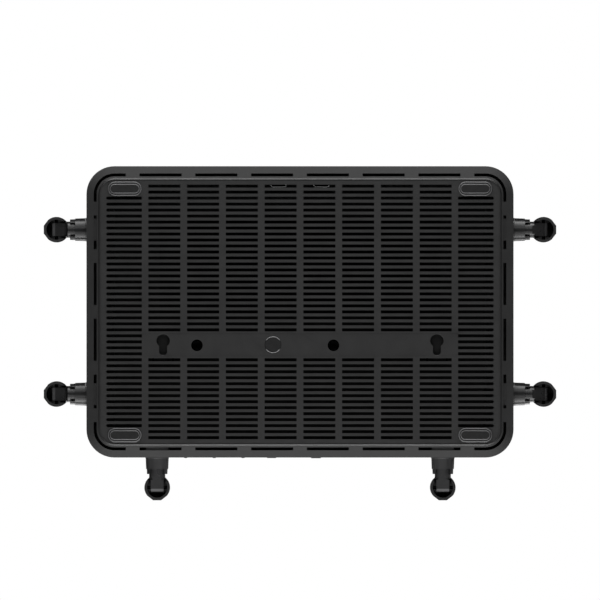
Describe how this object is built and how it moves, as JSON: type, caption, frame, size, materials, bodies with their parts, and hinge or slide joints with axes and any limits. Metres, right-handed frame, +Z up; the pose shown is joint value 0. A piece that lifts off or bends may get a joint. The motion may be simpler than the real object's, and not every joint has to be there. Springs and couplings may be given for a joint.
{
  "type": "desktop wireless router",
  "caption": "Flat rectangular mesh router with folding, swivelling blade antennas on its sides and rear, a slotted underside, wall keyholes and network ports.",
  "frame": {"origin": "on the table, under the middle of the whole object with its antennas upright", "axes": "+Z up; +Y to the rear, where the ports are; +X along the long side, to the right seen from the front"},
  "size_m": [0.311, 0.2028, 0.184],
  "materials": {
    "case_plastic": "fine-textured black",
    "foot_rubber": "matt black-grey",
    "board": "satin black solder mask",
    "black_aluminium": "black anodised",
    "bare_aluminium": "as extruded",
    "tinned_steel": "dull",
    "pad_rubber": "soft matt",
    "port_plastic": "moulded black",
    "button_plastic": "smooth",
    "clear_plastic": "frosted",
    "screw_steel": "zinc",
    "seal_plastic": "smooth",
    "brass_plate": "gold flash",
    "lead_jacket": "smooth",
    "socket_plastic": "satin",
    "knuckle_plastic": "satin",
    "blade_plastic": "fine-textured black"
  },
  "bodies": {
    "router": {"top_cover": "case_plastic", "bottom_cover": "case_plastic", "rear_panel": "case_plastic", "foot_left_front": "foot_rubber", "foot_left_rear": "foot_rubber", "foot_right_front": "foot_rubber", "foot_right_rear": "foot_rubber", "main_board": "board", "heatsink": "bare_aluminium", "heat_spreader": "black_aluminium", "shield_cpu": "tinned_steel", "shield_radio_low": "tinned_steel", "shield_radio_high": "tinned_steel", "thermal_pads": "pad_rubber", "dc_jack": "port_plastic", "light_pipe_system": "clear_plastic", "light_pipe_network": "clear_plastic", "case_screws": "screw_steel", "board_screws": "screw_steel", "seal_disc": "seal_plastic", "coax_sockets": "brass_plate", "coax_leads": "lead_jacket", "rj45_lan_3": "port_plastic", "rj45_lan_2": "port_plastic", "rj45_lan_1": "port_plastic", "rj45_wan": "port_plastic", "socket_left_front": "socket_plastic", "socket_left_rear": "socket_plastic", "socket_right_front": "socket_plastic", "socket_right_rear": "socket_plastic", "socket_rear_left": "socket_plastic", "socket_rear_right": "socket_plastic"},
    "knuckle_left_front": {"knuckle_left_front": "knuckle_plastic"},
    "antenna_left_front": {"blade_left_front": "blade_plastic", "pin_left_front": "screw_steel", "radiator_left_front": "board"},
    "knuckle_left_rear": {"knuckle_left_rear": "knuckle_plastic"},
    "antenna_left_rear": {"blade_left_rear": "blade_plastic", "pin_left_rear": "screw_steel", "radiator_left_rear": "board"},
    "knuckle_right_front": {"knuckle_right_front": "knuckle_plastic"},
    "antenna_right_front": {"blade_right_front": "blade_plastic", "pin_right_front": "screw_steel", "radiator_right_front": "board"},
    "knuckle_right_rear": {"knuckle_right_rear": "knuckle_plastic"},
    "antenna_right_rear": {"blade_right_rear": "blade_plastic", "pin_right_rear": "screw_steel", "radiator_right_rear": "board"},
    "knuckle_rear_left": {"knuckle_rear_left": "knuckle_plastic"},
    "antenna_rear_left": {"blade_rear_left": "blade_plastic", "pin_rear_left": "screw_steel", "radiator_rear_left": "board"},
    "knuckle_rear_right": {"knuckle_rear_right": "knuckle_plastic"},
    "antenna_rear_right": {"blade_rear_right": "blade_plastic", "pin_rear_right": "screw_steel", "radiator_rear_right": "board"},
    "mesh_button": {"mesh_button": "button_plastic"},
    "reset_button": {"reset_button": "button_plastic"}
  },
  "joints": [
    {"name": "swivel_left_front", "type": "hinge", "parent": "router", "child": "knuckle_left_front", "pos_m": [-0.1295, -0.0629, 0.022], "axis": [1, 0, 0], "range_deg": [-30, 90]},
    {"name": "fold_left_front", "type": "hinge", "parent": "knuckle_left_front", "child": "antenna_left_front", "pos_m": [-0.1478, -0.0629, 0.022], "axis": [0, -1, 0], "range_deg": [0, 90]},
    {"name": "swivel_left_rear", "type": "hinge", "parent": "router", "child": "knuckle_left_rear", "pos_m": [-0.1295, 0.0369, 0.022], "axis": [1, 0, 0], "range_deg": [-90, 30]},
    {"name": "fold_left_rear", "type": "hinge", "parent": "knuckle_left_rear", "child": "antenna_left_rear", "pos_m": [-0.1478, 0.0369, 0.022], "axis": [0, -1, 0], "range_deg": [0, 90]},
    {"name": "swivel_right_front", "type": "hinge", "parent": "router", "child": "knuckle_right_front", "pos_m": [0.1295, -0.0629, 0.022], "axis": [-1, 0, 0], "range_deg": [-90, 30]},
    {"name": "fold_right_front", "type": "hinge", "parent": "knuckle_right_front", "child": "antenna_right_front", "pos_m": [0.1478, -0.0629, 0.022], "axis": [0, 1, 0], "range_deg": [0, 90]},
    {"name": "swivel_right_rear", "type": "hinge", "parent": "router", "child": "knuckle_right_rear", "pos_m": [0.1295, 0.0369, 0.022], "axis": [-1, 0, 0], "range_deg": [-30, 90]},
    {"name": "fold_right_rear", "type": "hinge", "parent": "knuckle_right_rear", "child": "antenna_right_rear", "pos_m": [0.1478, 0.0369, 0.022], "axis": [0, 1, 0], "range_deg": [0, 90]},
    {"name": "swivel_rear_left", "type": "hinge", "parent": "router", "child": "knuckle_rear_left", "pos_m": [-0.0867, 0.07535, 0.022], "axis": [0, -1, 0], "range_deg": [-90, 90]},
    {"name": "fold_rear_left", "type": "hinge", "parent": "knuckle_rear_left", "child": "antenna_rear_left", "pos_m": [-0.0867, 0.09365, 0.022], "axis": [-1, 0, 0], "range_deg": [0, 90]},
    {"name": "swivel_rear_right", "type": "hinge", "parent": "router", "child": "knuckle_rear_right", "pos_m": [0.0867, 0.07535, 0.022], "axis": [0, -1, 0], "range_deg": [-90, 90]},
    {"name": "fold_rear_right", "type": "hinge", "parent": "knuckle_rear_right", "child": "antenna_rear_right", "pos_m": [0.0867, 0.09365, 0.022], "axis": [-1, 0, 0], "range_deg": [0, 90]},
    {"name": "mesh_button_press", "type": "slide", "parent": "router", "child": "mesh_button", "axis": [0, -1, 0], "range_m": [0, 0.0008], "stiffness_N_per_m": 900},
    {"name": "reset_button_press", "type": "slide", "parent": "router", "child": "reset_button", "axis": [0, -1, 0], "range_m": [0, 0.0006], "stiffness_N_per_m": 900}
  ]
}
